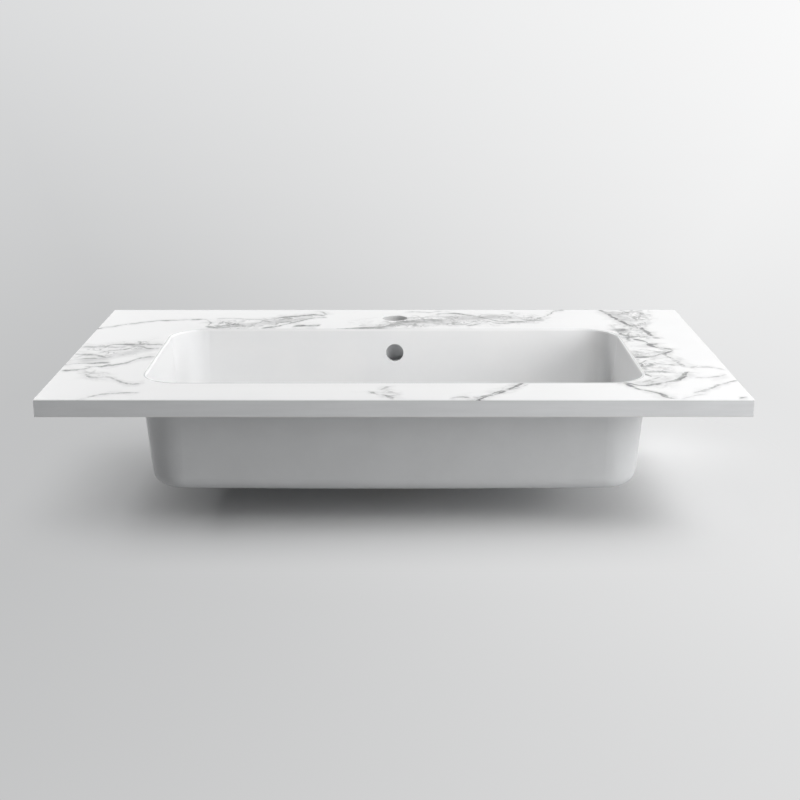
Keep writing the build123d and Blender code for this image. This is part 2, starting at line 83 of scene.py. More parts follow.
class Nodes:
    """Short ways to add nodes to a shader tree, from one of its texture coordinates."""

    # The sockets of a mix node that mixes colours.
    FIRST_COLOUR, SECOND_COLOUR, MIXED_COLOUR = 6, 7, 2

    def __init__(self, tree, coordinate):
        self.tree = tree
        self.coordinates = self.add("ShaderNodeTexCoord")
        self.place = self.coordinates.outputs[coordinate]

    def add(self, kind, **options):
        node = self.tree.nodes.new(kind)
        for option, value in options.items():
            setattr(node, option, value)
        return node

    def put(self, socket, value):
        """Links a socket, or sets a plain value."""
        if isinstance(value, bpy.types.NodeSocket):
            self.tree.links.new(value, socket)
        else:
            socket.default_value = value

    def filled(self, node, values, output=0):
        """An output of a node whose first inputs get these values."""
        for socket, value in zip(node.inputs, values):
            self.put(socket, value)
        return node.outputs[output]

    def math(self, operation, *values):
        return self.filled(self.add("ShaderNodeMath", operation=operation), values)

    def vector(self, operation, *values, output=0):
        return self.filled(self.add("ShaderNodeVectorMath", operation=operation), values, output)

    def dot(self, first, second):
        return self.vector("DOT_PRODUCT", first, second, output="Value")

    def length(self, vector):
        return self.vector("LENGTH", vector, output="Value")

    def ramp(self, value, low, high, start=0.0, end=1.0, kind="SMOOTHSTEP"):
        """start where value is low, end where it is high, and an even or smooth way between."""
        node = self.add("ShaderNodeMapRange", interpolation_type=kind)
        return self.filled(node, (value, low, high, start, end))

    def curve(self, value, points):
        """A smooth curve through points whose two numbers both run from 0 to 1."""
        node = self.add("ShaderNodeFloatCurve")
        line = node.mapping.curves[0]
        while len(line.points) > 2:
            line.points.remove(line.points[1])
        line.points[0].location = points[0]
        line.points[1].location = points[-1]
        for point in points[1:-1]:
            line.points.new(*point)
        node.mapping.update()
        self.put(node.inputs["Value"], value)
        return node.outputs[0]

    def noise(self, scale, detail=3.0, roughness=0.55, place=None, colour=False):
        """Noise with `scale` features a metre, about 0.5 on average."""
        node = self.add("ShaderNodeTexNoise")
        self.put(node.inputs["Vector"], place or self.place)
        for socket, value in (("Scale", scale), ("Detail", detail), ("Roughness", roughness)):
            node.inputs[socket].default_value = value
        return node.outputs["Color" if colour else "Fac"]

    def cells(self, scale, feature, place=None, output="Distance"):
        """Cells, `scale` of them a metre: how far off their middle or edge is, or their colour."""
        node = self.add("ShaderNodeTexVoronoi", feature=feature)
        self.put(node.inputs["Vector"], place or self.place)
        node.inputs["Scale"].default_value = scale
        return node.outputs[output]

    def warped(self, *shifts):
        """The place moved about by noise: each shift is features a metre and a length."""
        place = self.place
        for scale, length in shifts:
            wave = self.vector("SUBTRACT", self.noise(scale, 2.0, colour=True), (0.5,) * 3)
            place = self.vector("ADD", place, self.vector("MULTIPLY", wave, (2 * length,) * 3))
        return place

    def stretched(self, *factors, place=None):
        return self.vector("MULTIPLY", place or self.place, factors)

    def out_from(self, x, y):
        """The level way from an upright axis to the place."""
        way = self.vector("SUBTRACT", self.place, (x, y, 0.0))
        return self.vector("MULTIPLY", way, (1.0, 1.0, 0.0))

    def split(self, vector=None):
        node = self.add("ShaderNodeSeparateXYZ")
        self.put(node.inputs[0], vector or self.place)
        return node.outputs[:3]

    def mix(self, share, first, second):
        """The first colour, and the second where share is 1."""
        node = self.add("ShaderNodeMix", data_type="RGBA")
        self.put(node.inputs[0], share)
        self.put(node.inputs[self.FIRST_COLOUR], first)
        self.put(node.inputs[self.SECOND_COLOUR], second)
        return node.outputs[self.MIXED_COLOUR]

    def seen(self):
        """1 for what the camera, a mirror or glass sees, 0 for light that falls on the object."""
        rays = self.add("ShaderNodeLightPath").outputs
        total = rays["Is Camera Ray"]
        for ray in ("Is Glossy Ray", "Is Transmission Ray"):
            total = self.math("MAXIMUM", total, rays[ray])
        return total


class Paint(Nodes):
    """A material in the making: its principled shader and what is put on it."""

    def __init__(self, name, uniform):
        self.material = bpy.data.materials.new(name)
        self.material.use_nodes = True
        self.material.node_tree.nodes.clear()
        super().__init__(self.material.node_tree, "Object")
        self.shader = self.add("ShaderNodeBsdfPrincipled")
        self.output = self.add("ShaderNodeOutputMaterial")
        self.tree.links.new(self.shader.outputs["BSDF"], self.output.inputs["Surface"])
        for socket, value in uniform.items():
            self.set(socket, value)

    def set(self, socket, value):
        self.put(self.shader.inputs[socket], value)

    def colour(self, value):
        self.set("Base Color", value)

    def gloss(self, value, low, high):
        """Roughness from low to high over the usual values of a noise."""
        self.set("Roughness", self.ramp(value, *USUAL, low, high, "LINEAR"))

    def relief(self, *heights):
        """Bumps, one over the other: each is a height from 0 to 1 and its depth as a length."""
        normal = None
        for height, depth in heights:
            node = self.add("ShaderNodeBump")
            self.put(node.inputs["Height"], height)
            node.inputs["Distance"].default_value = depth
            if normal:
                self.put(node.inputs["Normal"], normal)
            normal = node.outputs[0]
        self.set("Normal", normal)

    def wear(self, *names):
        """Puts the material on these nodes or pieces."""
        for name in names:
            piece = bpy.data.objects[name]
            piece.data.materials.clear()
            piece.data.materials.append(self.material)


def grey(value, tint=0.0):
    """A linear grey, a little bluer for a positive tint and warmer for a negative one."""
    return (value * (1 - tint), value, value * (1 + tint), 1.0)


# Veins of the deck's top, in millimetres: width, depth of tone, then points along the vein.
# Each runs one way along X or along Y, whichever it spans more.
VEINS = [
    # Left of the bowl.
    (3.0, 0.60, (-412, -132), (-374, -102), (-354, -88), (-340, -78), (-312, -70), (-276, -63),
     (-254, -66)),
    (5.0, 0.62, (-410, -228), (-396, -227), (-380, -227), (-358, -215), (-338, -212), (-315, -212),
     (-294, -219)),
    (4.6, 0.60, (-376, -262), (-360, -249), (-341, -240), (-332, -228), (-322, -226), (-311, -236),
     (-296, -230)),
    (5.0, 0.62, (-412, -266), (-378, -270), (-364, -278), (-353, -300)),
    (4.6, 0.62, (-414, -334), (-389, -316), (-376, -313), (-345, -310)),
    (4.6, 0.66, (-400, -350), (-375, -344), (-366, -333), (-346, -324), (-328, -310), (-315, -288),
     (-292, -275)),
    (4.4, 0.56, (-372, -358), (-358, -378), (-350, -381), (-338, -378), (-327, -390), (-315, -407),
     (-303, -412), (-288, -406)),
    (3.4, 0.50, (-360, -494), (-339, -466), (-330, -458), (-312, -453), (-284, -450)),
    (3.2, 0.50, (-404, -302), (-382, -291), (-368, -289), (-358, -284), (-345, -271)),
    (4.0, 0.66, (-376, -330), (-365, -331), (-355, -331), (-351, -324), (-342, -316)),
    # Behind the bowl, on the left.
    (2.6, 0.50, (-262, -62), (-254, -78), (-252, -92), (-258, -106)),
    (4.4, 0.75, (-260, -107), (-239, -114), (-217, -106), (-202, -102), (-190, -90), (-177, -66),
     (-164, -54), (-130, -38), (-112, -32), (-94, -40)),
    (3.6, 0.60, (-200, -116), (-186, -92), (-172, -86), (-158, -70), (-143, -50)),
    (3.6, 0.62, (-183, -118), (-163, -110), (-150, -94), (-133, -76), (-113, -55), (-92, -52)),
    (6.0, 0.70, (-142, -110), (-126, -102), (-114, -104), (-99, -88)),
    (2.2, 0.40, (-250, -61), (-220, -58), (-196, -62), (-176, -58)),
    (3.0, 0.50, (-114, -6), (-102, -16), (-94, -36)),
    # Behind the bowl, on the right.
    (3.0, 0.36, (10, -15), (32, -15), (48, -18), (63, -9), (84, -15)),
    (4.0, 0.62, (55, -35), (77, -24), (102, -35), (129, -57), (156, -78), (186, -74), (200, -57),
     (217, -32), (226, -10), (244, 2)),
    (9.0, 0.34, (56, -38), (79, -53), (93, -61), (111, -57), (128, -72)),
    (4.6, 0.56, (94, -106), (117, -90), (127, -70), (138, -86), (154, -86), (174, -73)),
    (3.4, 0.42, (132, -8), (138, -42), (158, -50), (168, -20)),
    # In front of the bowl.
    (4.0, 0.55, (-30, -440), (-19, -457), (-9, -461), (-1, -482)),
    (3.0, 0.34, (-16, -442), (-8, -425), (6, -416)),
    (2.6, 0.30, (-18, -468), (-2, -462), (14, -458)),
    (3.4, 0.50, (60, -482), (70, -471), (80, -471), (90, -482)),
    (3.2, 1.00, (72, -500), (90, -484), (105, -466), (116, -455), (125, -441), (137, -424),
     (146, -410), (168, -390)),
    (2.6, 0.60, (84, -476), (100, -466), (114, -450), (126, -432)),
    (2.2, 0.45, (120, -448), (140, -428), (160, -408)),
    # Right of the bowl.
    (4.4, 0.95, (292, 4), (301, -28), (304, -51), (310, -69), (316, -90), (322, -104), (334, -122)),
    (4.0, 0.85, (332, -110), (336, -140), (338, -162), (348, -184)),
    (3.0, 0.60, (309, -38), (334, -13), (356, -3)),
    (3.4, 0.62, (301, -148), (316, -131), (328, -131), (334, -148), (342, -178)),
    (4.4, 0.80, (308, -182), (324, -194), (331, -212), (342, -207)),
    (4.0, 0.85, (328, -206), (330, -226), (341, -234), (354, -247)),
    (4.0, 0.75, (356, -242), (342, -258), (332, -266), (319, -280), (292, -282)),
    (4.0, 0.80, (335, -257), (340, -281), (346, -305), (352, -330)),
    (3.4, 0.62, (344, -321), (356, -331), (370, -316)),
    (3.0, 0.50, (294, -326), (312, -299), (325, -293)),
    (3.0, 0.50, (313, -301), (326, -316), (345, -324)),
    (4.8, 0.85, (352, -352), (343, -366), (337, -381), (328, -400)),
    (4.0, 0.66, (335, -395), (320, -400), (309, -407), (298, -413), (287, -419), (273, -410),
     (252, -405)),
    (4.0, 0.72, (268, -405), (278, -433), (287, -440), (299, -453), (303, -470), (320, -480)),
    (2.6, 0.42, (294, -366), (306, -360), (320, -360)),
    (2.6, 0.42, (314, -376), (325, -390), (338, -387)),
    (2.6, 0.40, (296, -395), (305, -386), (317, -376)),
    (3.0, 0.42, (354, -339), (376, -333), (389, -338), (400, -362)),
    (3.0, 0.42, (398, -362), (388, -374), (372, -381), (348, -384)),
    (3.4, 0.52, (404, -393), (385, -407), (372, -418), (356, -438), (334, -454)),
    (3.0, 0.55, (384, -480), (391, -472), (398, -466)),
    (3.0, 0.26, (316, -480), (340, -462), (356, -457)),
]

# Broad grey washes: how far the tone reaches, its depth, which side of the line it lies on
# (1 where the other coordinate is larger, -1 where it is smaller, 0 for both), then the line.
WASHES = [
    (46, 0.62, -1, (-110, -130), (-61, -117), (-44, -112), (-20, -108), (-2, -87), (10, -74),
     (21, -70), (35, -62), (51, -61), (84, -72)),
    (38, 0.42, 1, (290, 6), (301, -28), (304, -51), (310, -69), (316, -92)),
    (26, 0.30, 0, (-400, -300), (-360, -285), (-330, -255), (-290, -225)),
    (22, 0.34, 0, (-240, -108), (-190, -92), (-150, -70), (-100, -46)),
    (26, 0.36, 0, (60, -34), (100, -56), (140, -46), (180, -66)),
    (16, 0.20, 0, (262, -408), (290, -405), (318, -388), (340, -368)),
    (12, 0.16, 0, (-380, -395), (-350, -380), (-320, -392)),
    (14, 0.14, 0, (366, -398), (384, -384), (400, -372)),
]

# Where finer veins show: how far from the line, their depth, then the line.
BUSY = [
    (60, 0.95, (-410, -300), (-350, -240), (-300, -220)),
    (30, 0.60, (-385, -345), (-350, -372), (-318, -395)),
    (46, 0.95, (-275, -100), (-200, -95), (-150, -75), (-85, -40)),
    (52, 0.75, (-70, -115), (0, -85), (90, -70), (160, -60), (230, -30)),
    (34, 0.90, (334, 20), (336, -60), (314, -125), (320, -210), (312, -320), (296, -440)),
    (26, 0.60, (-36, -446), (-10, -450), (14, -470)),
    (26, 0.55, (64, -480), (100, -462), (150, -410)),
]

# How the lines are drawn: over how many millimetres each kind fades out at a line's two ends, what
# its listed depth is multiplied by, and from what share of its width or reach its tone falls off.
VEIN_FADE, BUSY_FADE, WASH_FADE = 8, 30, 24
VEIN_GAIN, WASH_GAIN = 1.15, 1.2
CORE_START, CORE_END = 0.35, 1.15
BUSY_START, WASH_START = 0.25, 0.15
HALO_END, HALO_DEPTH = 4.5, 0.3  # The soft tone round a vein, in widths and as a part of its depth.


def marble():
    """The deck's top: white with grey veins that follow VEINS, and finer ones near them."""
    paint = Paint("marble_laminate", {"Metallic": 0.0, "IOR": 1.48})
    veined = paint.warped((20.0, 4.5 * MM), (62.0, 2.6 * MM), (170.0, 1.3 * MM))
    across = paint.split(veined)
    width_now = paint.ramp(paint.noise(52.0, 2.0), *USUAL, 0.4, 1.6, "LINEAR")

    def along(points):
        """How far along the line a place is, 0 to 1, how far beside it, and its span in mm."""
        spans = [max(p[axis] for p in points) - min(p[axis] for p in points) for axis in (0, 1)]
        run = 0 if spans[0] >= spans[1] else 1
        rise = 1 - run
        ordered = sorted(points, key=lambda p: p[run])
        start, end = ordered[0][run], ordered[-1][run]
        low = min(p[rise] for p in points)
        height = max(spans[rise], 1)
        shape = [((p[run] - start) / (end - start), (p[rise] - low) / height) for p in ordered]
        share = paint.ramp(across[run], start * MM, end * MM, kind="LINEAR")
        line = paint.math("MULTIPLY_ADD", paint.curve(share, shape), height * MM, low * MM)
        return share, paint.math("SUBTRACT", across[rise], line), end - start

    def faded(share, value, part):
        """The value, fading out over a part of the line at each end."""
        ends = paint.ramp(paint.math("PINGPONG", share, 0.5), 0.0, min(part, 0.4))
        return paint.math("MULTIPLY", value, ends)

    tone = 0.0
    for width, depth, *points in VEINS:
        depth = min(1.0, VEIN_GAIN * depth)
        width *= MM
        share, beside, span = along(points)
        apart = paint.math("DIVIDE", paint.math("ABSOLUTE", beside), width_now)
        core = paint.ramp(apart, CORE_START * width, CORE_END * width, depth, 0.0)
        halo = paint.ramp(apart, 0.0, HALO_END * width, HALO_DEPTH * depth, 0.0)
        vein = faded(share, paint.math("MAXIMUM", core, halo), VEIN_FADE / span)
        tone = paint.math("MAXIMUM", tone, vein)

    near = 0.0
    for reach, depth, *points in BUSY:
        reach *= MM
        share, beside, span = along(points)
        shade = paint.ramp(paint.math("ABSOLUTE", beside), BUSY_START * reach, reach, depth, 0.0)
        near = paint.math("MAXIMUM", near, faded(share, shade, BUSY_FADE / span))

    wash = 0.0
    for reach, depth, side, *points in WASHES:
        reach *= MM
        share, beside, span = along(points)
        if side:
            beside = paint.math("MULTIPLY", beside, float(side))
            edge = paint.ramp(beside, -1.0 * MM, 0.6 * MM)
        else:
            beside = paint.math("ABSOLUTE", beside)
            edge = 1.0
        shade = paint.ramp(beside, WASH_START * reach, reach, WASH_GAIN * depth, 0.0)
        shade = faded(share, paint.math("MULTIPLY", shade, edge), WASH_FADE / span)
        wash = paint.math("MAXIMUM", wash, shade)

    # Finer veins, near the BUSY lines: two nets of warped cell edges and a noise's level lines, all
    # of them broken off here and there, and a haze of tone among them.
    netted = paint.warped((40.0, 8 * MM), (150.0, 3 * MM))
    net = paint.cells(30.0, "DISTANCE_TO_EDGE", paint.stretched(1.0, 0.75, 1.0, place=netted))
    net = paint.ramp(net, 0.01, 0.11, 1.0, 0.0)
    small = paint.cells(62.0, "DISTANCE_TO_EDGE", paint.stretched(0.8, 1.0, 1.0, place=netted))
    small = paint.ramp(small, 0.01, 0.12, 0.7, 0.0)
    net = paint.math("MAXIMUM", net, small)
    level = paint.math("SUBTRACT", paint.noise(21.0, 5.0, 0.65, netted), 0.5)
    level = paint.ramp(paint.math("ABSOLUTE", level), 0.004, 0.034, 1.0, 0.0)
    some = paint.ramp(paint.noise(27.0), 0.38, 0.54)
    fine = paint.math("MULTIPLY", paint.math("MAXIMUM", net, level), some)
    haze = paint.ramp(paint.noise(60.0, 4.0, 0.6, netted), 0.42, 0.7, 0.0, 0.3)
    fine = paint.math("MULTIPLY", paint.math("MAXIMUM", fine, haze), near)

    # Fainter and stronger places in all of it, and faint clouds everywhere.
    broken = paint.ramp(paint.noise(76.0, 4.0, 0.6, veined), 0.36, 0.6, 0.3, 1.3, "LINEAR")
    tone = paint.math("MULTIPLY", tone, broken)
    uneven = paint.ramp(paint.noise(34.0), 0.36, 0.6, 0.3, 1.05, "LINEAR")
    tone = paint.math("MAXIMUM", tone, paint.math("MULTIPLY", fine, uneven))
    mottled = paint.ramp(paint.noise(48.0, 5.0, 0.65, veined), 0.34, 0.6, 0.45, 1.15, "LINEAR")
    tone = paint.math("MAXIMUM", tone, paint.math("MULTIPLY", wash, mottled))
    clouds = paint.ramp(paint.noise(7.0, 4.0, 0.5, netted), 0.5, 0.75, 0.0, 0.03)
    tone = paint.math("MAXIMUM", tone, clouds)
    paint.colour(paint.mix(tone, grey(0.93), grey(0.17, 0.012)))
    paint.gloss(paint.noise(900.0, 2.0), 0.36, 0.44)
    paint.relief((paint.noise(2600.0, 2.0), 0.004 * MM), (paint.noise(160.0, 2.0), 0.006 * MM))
    return paint


def bowl_resin():
    """Moulded white resin: a glossy skin inside, and outside the casting's duller back, its greyer
    tone painted shade. The end walls carry painted shade as well.
    """
    skin_roughness = (0.19, 0.21)
    back_roughness = 0.15  # What the back has more of than the skin.
    coats = (0.1, 0.65)  # On the skin and on the back.
    rim_start, rim_end = 16.5 * MM, 18.5 * MM  # The heights between which the rim turns whiter.
    paint = Paint("bowl_resin", {"Metallic": 0.0, "IOR": 1.5, "Coat Roughness": 0.1})
    facing = paint.coordinates.outputs["Normal"]
    facing_x, _, facing_z = paint.split(facing)
    # The back is whatever looks out from the bowl's axis, and down where that doesn't tell.
    outside = paint.dot(facing, paint.out_from(bowl_x, bowl_y))
    back = paint.ramp(paint.math("MULTIPLY_ADD", facing_z, -0.05, outside), -0.01, 0.02)
    cloud = paint.ramp(paint.noise(9.0), 0.35, 0.7)
    skin = paint.mix(cloud, grey(0.88, 0.004), grey(0.90, -0.002))
    # Painted shade: the end walls, which face along X, are painted a shade deeper, for the shade
    # that falls on them.
    ends = paint.ramp(paint.math("ABSOLUTE", facing_x), 0.55, 0.9)
    skin = paint.mix(ends, skin, grey(0.82, 0.004))
    mottle = paint.ramp(paint.noise(26.0, 5.0, 0.6), *USUAL)
    # Painted shade: the outside's grey stands for the shade it lies in under the deck, with a
    # mottled tone over it.
    painted_shade_back = paint.mix(mottle, grey(0.56, 0.012), grey(0.58, 0.012))
    skin = paint.mix(paint.ramp(paint.split()[2], rim_start, rim_end), skin, grey(0.95))
    paint.colour(paint.mix(back, skin, painted_shade_back))
    paint.set("Coat Weight", paint.ramp(back, 0.0, 1.0, *coats, "LINEAR"))
    wavy = paint.ramp(paint.noise(45.0, 4.0), *USUAL, *skin_roughness)
    paint.set("Roughness", paint.math("MULTIPLY_ADD", back, back_roughness, wavy))
    grain = paint.math("MULTIPLY", back, paint.noise(520.0, 4.0))
    paint.relief((paint.noise(70.0, 2.0), 0.012 * MM), (paint.noise(1500.0, 2.0), 0.0015 * MM),
                 (grain, 0.012 * MM))
    return paint


def edging():
    """A plain edging strip: satin plastic with fine pits and a little unevenness of tone."""
    paint = Paint("edging", {"Metallic": 0.0, "IOR": 1.46})
    streak = paint.noise(60.0, 4.0, 0.6, paint.stretched(0.25, 0.25, 3.0))
    paint.colour(paint.mix(paint.ramp(streak, *USUAL), grey(0.585, 0.012), grey(0.615, 0.012)))
    paint.gloss(paint.noise(700.0), 0.42, 0.56)
    paint.relief((paint.noise(1800.0), 0.012 * MM), (paint.noise(55.0, 2.0), 0.03 * MM))
    return paint


def backing():
    """The plain sheet under the deck: a fine linen print."""
    thread_rate = 5200.0  # Radians a metre: a thread every 1.2 mm.
    paint = Paint("backing_laminate", {"Metallic": 0.0, "IOR": 1.46})
    warp, weft = (paint.math("SINE", paint.math("MULTIPLY", coordinate, thread_rate))
                  for coordinate in paint.split()[:2])
    weave = paint.math("MULTIPLY_ADD", paint.math("MULTIPLY", warp, weft), 0.5, 0.5)
    print_tone = paint.math("MULTIPLY", weave, paint.noise(30.0, 4.0))
    paint.colour(paint.mix(print_tone, grey(0.56, -0.004), grey(0.63, -0.004)))
    paint.gloss(paint.noise(300.0), 0.5, 0.64)
    paint.relief((weave, 0.02 * MM), (paint.noise(90.0, 2.0), 0.05 * MM))
    return paint


def board():
    """Cut faces of the fibreboard: pressed fibres that lie flat, with a few dark flecks.

    The tap hole's wall is sealed with a pale paint.
    """
    sealed_end, bare_start = 18.5 * MM, 19.5 * MM  # Measured from the tap hole's axis.
    paint = Paint("board", {"Metallic": 0.0, "Roughness": 0.85, "IOR": 1.4})
    flat = paint.stretched(1.0, 1.0, 5.0)
    fibres = paint.noise(420.0, 5.0, 0.7, flat)
    layers = paint.noise(60.0, 2.0, 0.5, paint.stretched(0.1, 0.1, 6.0))
    base = paint.mix(paint.ramp(fibres, *USUAL), grey(0.30, -0.02), grey(0.46, -0.03))
    base = paint.mix(paint.ramp(layers, 0.45, 0.7, 0.0, 0.5), base, grey(0.36, -0.03))
    fleck = paint.ramp(paint.cells(330.0, "F1", flat), 0.1, 0.22, 0.7, 0.0)
    base = paint.mix(fleck, base, grey(0.2, -0.04))
    radius = paint.length(paint.out_from(tap_x, tap_y))
    sealed = paint.ramp(radius, sealed_end, bare_start, 1.0, 0.0)
    paint.colour(paint.mix(sealed, base, paint.mix(fibres, grey(0.62), grey(0.74))))
    paint.relief((fibres, 0.12 * MM))
    return paint


def sealant():
    """White silicone: smooth, with the small waves that a finger leaves."""
    paint = Paint("sealant", {"Metallic": 0.0, "IOR": 1.41})
    wave = paint.noise(120.0)
    paint.colour(paint.mix(wave, grey(0.9), grey(0.95)))
    paint.gloss(paint.noise(260.0), 0.29, 0.38)
    paint.relief((wave, 0.12 * MM))
    return paint


def adhesive():
    """The adhesive bed: squeezed out, with bubbles and uneven tone."""
    paint = Paint("adhesive_bed", {"Metallic": 0.0, "IOR": 1.45})
    lumps = paint.noise(240.0, 4.0, 0.6)
    bubble = paint.ramp(paint.cells(420.0, "F1"), 0.12, 0.2, 1.0, 0.0)
    bed = paint.mix(lumps, grey(0.72, -0.02), grey(0.84, -0.02))
    paint.colour(paint.mix(bubble, bed, grey(0.6, -0.03)))
    paint.gloss(lumps, 0.35, 0.55)
    paint.relief((lumps, 0.3 * MM), (bubble, -0.1 * MM))
    return paint


def moulded(name, colour_low, colour_high, low, high, grain=0.02):
    """A moulded plastic: spark-eroded grain, its depth in mm, and slow changes of tone."""
    paint = Paint(name, {"Metallic": 0.0, "IOR": 1.47})
    paint.colour(paint.mix(paint.ramp(paint.noise(35.0), *USUAL), colour_low, colour_high))
    paint.gloss(paint.noise(500.0), low, high)
    paint.relief((paint.noise(2400.0, 3.0, 0.6), grain * MM), (paint.noise(40.0, 2.0), 0.08 * MM))
    return paint


def zinc():
    """Zinc-plated steel: a cool metal with a mottled, slightly scratched plating."""
    paint = Paint("steel", {"Metallic": 1.0})
    spangle = paint.cells(700.0, "F1", paint.warped((300.0, 1.0 * MM)), "Color")
    cloud = paint.noise(140.0, 5.0, 0.65)
    scratch = paint.noise(900.0, 3.0, 0.6, paint.stretched(0.12, 1.0, 1.0))
    scratch = paint.ramp(scratch, 0.6, 0.72)
    tone = paint.mix(cloud, grey(0.5, 0.015), grey(0.66, 0.02))
    tone = paint.mix(paint.math("MULTIPLY", paint.split(spangle)[0], 0.18), tone, grey(0.72))
    paint.colour(paint.mix(paint.math("MULTIPLY", scratch, 0.5), tone, grey(0.78)))
    paint.gloss(cloud, 0.28, 0.46)
    paint.relief((scratch, -0.006 * MM), (cloud, 0.02 * MM))
    return paint


def brass():
    """Machined brass: fine tool rings round the drain's axis, and a light tarnish."""
    ring_pitch = 0.22 * MM
    paint = Paint("brass", {"Metallic": 1.0})
    # Radius and height together, so that the rings are there on ends and on sides.
    turns = paint.math("ADD", paint.length(paint.out_from(drain_x, drain_y)), paint.split()[2])
    rings = paint.math("SINE", paint.math("MULTIPLY", turns, FULL_TURN / ring_pitch))
    rings = paint.math("MULTIPLY_ADD", rings, 0.5, 0.5)
    tarnish = paint.ramp(paint.noise(150.0, 5.0, 0.65), 0.4, 0.68)
    bright = paint.mix(rings, (0.72, 0.53, 0.25, 1.0), (0.8, 0.6, 0.3, 1.0))
    paint.colour(paint.mix(tarnish, bright, (0.52, 0.36, 0.16, 1.0)))
    paint.gloss(paint.noise(180.0, 4.0), 0.16, 0.26)
    paint.relief((rings, 0.006 * MM))
    return paint


def chrome():
    """Polished chrome: nearly a mirror, with hairline scratches and faint smears."""
    paint = Paint("chrome", {"Metallic": 1.0})
    smear = paint.noise(55.0, 5.0, 0.6)
    hair = paint.noise(1300.0, 2.0, 0.5, paint.stretched(0.06, 1.0, 1.0))
    hair = paint.ramp(hair, 0.66, 0.72)
    paint.colour(paint.mix(paint.ramp(smear, 0.35, 0.7), grey(0.76, 0.012), grey(0.84, 0.01)))
    paint.gloss(smear, 0.05, 0.13)
    paint.relief((hair, -0.002 * MM), (paint.noise(90.0, 2.0), 0.01 * MM))
    return paint


def rubber():
    """Black rubber: matt, with a pale bloom in patches."""
    paint = Paint("gasket_rubber", {"Metallic": 0.0, "IOR": 1.5})
    bloom = paint.ramp(paint.noise(160.0, 5.0, 0.65), 0.5, 0.75, 0.0, 0.6)
    paint.colour(paint.mix(bloom, grey(0.022), grey(0.07)))
    paint.gloss(paint.noise(500.0), 0.6, 0.8)
    paint.relief((paint.noise(1500.0), 0.03 * MM))
    return paint


marble().wear("marble_facing")
bowl_resin().wear("bowl")
edging().wear("front_edging", "rear_edging", "left_edging", "right_edging")
backing().wear("backing_sheet")
board().wear("deck_core")
sealant().wear("rim_sealant")
adhesive().wear("flange_adhesive")
moulded("channel_plastic", grey(0.7, 0.01), grey(0.76, 0.012), 0.42, 0.56).wear("overflow_channel")
moulded("washer_plastic", grey(0.76, -0.02), grey(0.82, -0.02), 0.4, 0.52).wear("waste_slip_washer")
moulded("latch_plastic", grey(0.8, -0.01), grey(0.86, -0.01), 0.36, 0.5, 0.012).wear("latch_collar")
steel_paint = zinc()
steel_paint.wear("bowl_clips", "clip_washers", "clip_screws")
brass().wear("threaded_inserts", "waste_backnut", "latch_barrel", "plug_stem")
chrome_paint = chrome()
chrome_paint.wear("waste_body", "plug_cap")
rubber().wear("waste_top_gasket", "waste_base_gasket", "plug_seal")


def placed(name, data):
    """A new object in the scene."""
    thing = bpy.data.objects.new(name, data)
    bpy.context.scene.collection.objects.link(thing)
    return thing


def threaded_waste():
    """The waste body again, with its thread cut into the tail as real grooves."""
    tail_radius = 20.95 * MM
    tail_top = -143.2 * MM
    tail_end = -162.9 * MM
    halfway = 0.5 * (tail_top + tail_end)
    length = tail_top - tail_end
    pitch = 2.309 * MM
    depth = 1.3 * MM
    runout = 1.4 * MM
    rows_a_turn = 8
    close = 0.005 * MM
    same_point = 0.0005 * MM
    sharp_from = math.radians(38)
    form = bmesh.new()
    form.from_mesh(nodes["waste_body"].data)
    bmesh.ops.remove_doubles(form, verts=form.verts, dist=same_point)

    def on_tail(vertex):
        off = abs(math.hypot(vertex.co.x - drain_x, vertex.co.y - drain_y) - tail_radius)
        return off < close and tail_end - close < vertex.co.z < tail_top + close

    def turn_of(vertex):
        return math.atan2(vertex.co.y - drain_y, vertex.co.x - drain_x)

    skin = [face for face in form.faces if all(on_tail(vertex) for vertex in face.verts)]
    bmesh.ops.delete(form, geom=skin, context="FACES")
    ends = sorted((vertex for vertex in form.verts if on_tail(vertex)), key=turn_of)
    top = [vertex for vertex in ends if vertex.co.z > halfway]
    bottom = [vertex for vertex in ends if vertex.co.z <= halfway]
    if len(top) != len(bottom):
        raise ValueError("the tail's two rims differ in their number of points")
    steps = round(length / pitch * rows_a_turn)
    rows = [top]
    for step in range(1, steps):
        z = tail_top - length * step / steps
        ease = min(1.0, (tail_top - z) / runout, (z - tail_end) / runout)
        row = []
        for vertex in top:
            turn = turn_of(vertex)
            phase = z / pitch - turn / FULL_TURN
            groove = 0.5 - 0.5 * math.cos(FULL_TURN * phase)
            radius = tail_radius - depth * ease * groove
            point = (drain_x + radius * math.cos(turn), drain_y + radius * math.sin(turn), z)
            row.append(form.verts.new(point))
        rows.append(row)
    rows.append(bottom)
    for upper, lower in zip(rows, rows[1:]):
        for here in range(len(upper)):
            there = (here + 1) % len(upper)
            form.faces.new((upper[here], lower[here], lower[there], upper[there]))
    bmesh.ops.recalc_face_normals(form, faces=form.faces)
    mesh = bpy.data.meshes.new("waste_threaded")
    form.to_mesh(mesh)
    form.free()
    mesh.polygons.foreach_set("use_smooth", [True] * len(mesh.polygons))
    mesh.set_sharp_from_angle(angle=sharp_from)
    return placed("waste_threaded", mesh)


waste = threaded_waste()
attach(waste, "basin")
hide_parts("waste_body")
chrome_paint.wear("waste_threaded")

# The latch's spring again, with a mesh of its own.
spring = placed("spring_wire", nodes["latch_spring"].data.copy())
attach(spring, "basin")
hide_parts("latch_spring")
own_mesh(spring)
steel_paint.wear("spring_wire")

# Stage: a wide pale floor that the basin's tail stands on, lighter to the right and far away.
FLOOR_REACH = 3000.0
floor_mesh = bpy.data.meshes.new("floor")
floor_mesh.from_pydata([(x * FLOOR_REACH, y * FLOOR_REACH, floor_z)
                        for x, y in ((-1, -1), (1, -1), (1, 1), (-1, 1))], [], [(0, 1, 2, 3)])
floor = placed("floor", floor_mesh)

